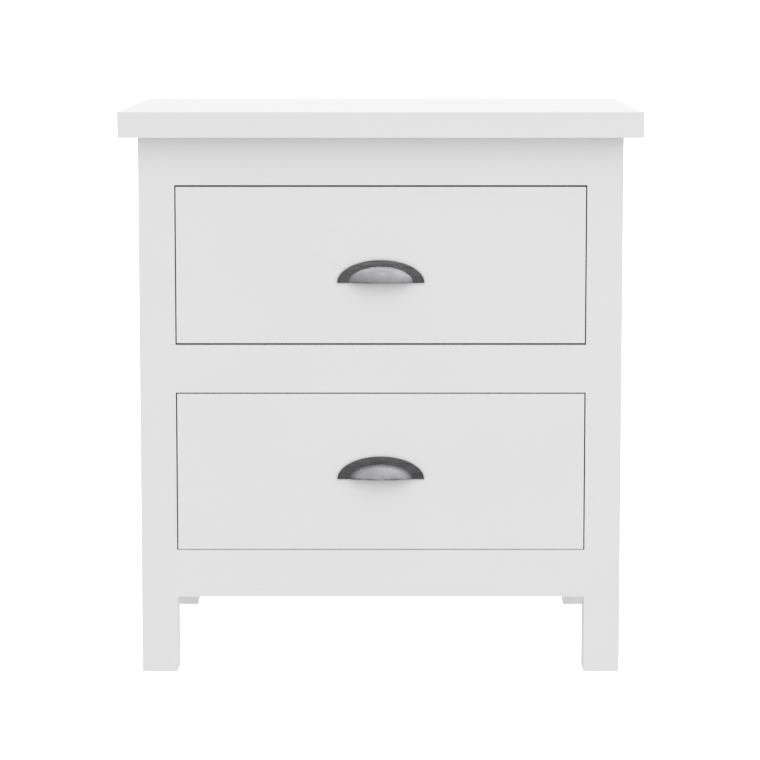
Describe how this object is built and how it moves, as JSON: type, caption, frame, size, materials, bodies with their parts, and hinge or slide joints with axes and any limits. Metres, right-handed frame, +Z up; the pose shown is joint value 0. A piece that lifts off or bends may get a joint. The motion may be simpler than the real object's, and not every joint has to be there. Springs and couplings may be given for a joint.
{
  "type": "two-drawer nightstand",
  "caption": "Painted nightstand with square posts, an overhanging top, inset drawers with cup pulls on ball-bearing slides, and an open underside.",
  "frame": {"origin": "on the floor, under the middle of the overall box", "axes": "+Z up, drawers face and open towards -Y, +X to the right as seen from the front"},
  "size_m": [0.571, 0.42, 0.622],
  "materials": {
    "painted_wood": "white satin paint on solid wood",
    "painted_board": "white satin paint on hardboard",
    "drawer_pine": "clear-lacquered pine",
    "case_pine": "unfinished planed pine",
    "plywood": "sanded birch plywood",
    "beech_dowel": "fluted beech",
    "iron_pull": "rough antique pewter finish on cast iron",
    "slide_steel": "bright zinc-plated rolled steel",
    "slide_ball_steel": "polished steel balls in a plated retainer",
    "fastener_steel": "zinc-plated steel"
  },
  "bodies": {
    "cabinet": {"top_panel": "painted_wood", "front_post_left": "painted_wood", "front_post_right": "painted_wood", "back_post_left": "painted_wood", "back_post_right": "painted_wood", "top_rail": "painted_wood", "middle_rail": "painted_wood", "bottom_rail": "painted_wood", "side_panel_left": "painted_wood", "side_panel_right": "painted_wood", "back_rail_top": "painted_wood", "back_rail_bottom": "painted_wood", "back_panel": "painted_board", "top_cleat_left": "case_pine", "top_cleat_right": "case_pine", "upper_batten_left": "case_pine", "upper_batten_right": "case_pine", "lower_batten_left": "case_pine", "lower_batten_right": "case_pine", "upper_case_slide_left": "slide_steel", "upper_case_slide_right": "slide_steel", "lower_case_slide_left": "slide_steel", "lower_case_slide_right": "slide_steel", "dowels": "beech_dowel", "top_screws": "fastener_steel", "batten_screws": "fastener_steel", "back_panel_nails": "fastener_steel", "case_slide_screws": "fastener_steel"},
    "upper_drawer": {"upper_drawer_face": "painted_wood", "upper_box_front": "drawer_pine", "upper_box_left": "drawer_pine", "upper_box_right": "drawer_pine", "upper_box_back": "drawer_pine", "upper_box_bottom": "plywood", "upper_pull": "iron_pull", "upper_pull_screws": "fastener_steel", "upper_face_screws": "fastener_steel", "upper_drawer_slide_left": "slide_steel", "upper_drawer_slide_right": "slide_steel", "upper_drawer_slide_screws": "fastener_steel"},
    "lower_drawer": {"lower_drawer_face": "painted_wood", "lower_box_front": "drawer_pine", "lower_box_left": "drawer_pine", "lower_box_right": "drawer_pine", "lower_box_back": "drawer_pine", "lower_box_bottom": "plywood", "lower_pull": "iron_pull", "lower_pull_screws": "fastener_steel", "lower_face_screws": "fastener_steel", "lower_drawer_slide_left": "slide_steel", "lower_drawer_slide_right": "slide_steel", "lower_drawer_slide_screws": "fastener_steel"},
    "upper_middle_slides": {"upper_middle_slide_left": "slide_steel", "upper_middle_slide_right": "slide_steel"},
    "upper_outer_cages": {"upper_outer_ball_cages": "slide_ball_steel"},
    "upper_inner_cages": {"upper_inner_ball_cages": "slide_ball_steel"},
    "lower_middle_slides": {"lower_middle_slide_left": "slide_steel", "lower_middle_slide_right": "slide_steel"},
    "lower_outer_cages": {"lower_outer_ball_cages": "slide_ball_steel"},
    "lower_inner_cages": {"lower_inner_ball_cages": "slide_ball_steel"}
  },
  "joints": [
    {"name": "upper_drawer_slide", "type": "slide", "parent": "cabinet", "child": "upper_drawer", "axis": [0, -1, 0], "range_m": [0, 0.35]},
    {"name": "upper_middle_slides_travel", "type": "slide", "parent": "cabinet", "child": "upper_middle_slides", "axis": [0, -1, 0], "range_m": [0, 0.175]},
    {"name": "upper_outer_cages_travel", "type": "slide", "parent": "cabinet", "child": "upper_outer_cages", "axis": [0, -1, 0], "range_m": [0, 0.0875]},
    {"name": "upper_inner_cages_travel", "type": "slide", "parent": "cabinet", "child": "upper_inner_cages", "axis": [0, -1, 0], "range_m": [0, 0.2625]},
    {"name": "lower_drawer_slide", "type": "slide", "parent": "cabinet", "child": "lower_drawer", "axis": [0, -1, 0], "range_m": [0, 0.35]},
    {"name": "lower_middle_slides_travel", "type": "slide", "parent": "cabinet", "child": "lower_middle_slides", "axis": [0, -1, 0], "range_m": [0, 0.175]},
    {"name": "lower_outer_cages_travel", "type": "slide", "parent": "cabinet", "child": "lower_outer_cages", "axis": [0, -1, 0], "range_m": [0, 0.0875]},
    {"name": "lower_inner_cages_travel", "type": "slide", "parent": "cabinet", "child": "lower_inner_cages", "axis": [0, -1, 0], "range_m": [0, 0.2625]}
  ],
  "couplings": [
    {"joint": "upper_middle_slides_travel", "follows": "upper_drawer_slide", "ratio": 0.5},
    {"joint": "upper_outer_cages_travel", "follows": "upper_drawer_slide", "ratio": 0.25},
    {"joint": "upper_inner_cages_travel", "follows": "upper_drawer_slide", "ratio": 0.75},
    {"joint": "lower_middle_slides_travel", "follows": "lower_drawer_slide", "ratio": 0.5},
    {"joint": "lower_outer_cages_travel", "follows": "lower_drawer_slide", "ratio": 0.25},
    {"joint": "lower_inner_cages_travel", "follows": "lower_drawer_slide", "ratio": 0.75}
  ]
}
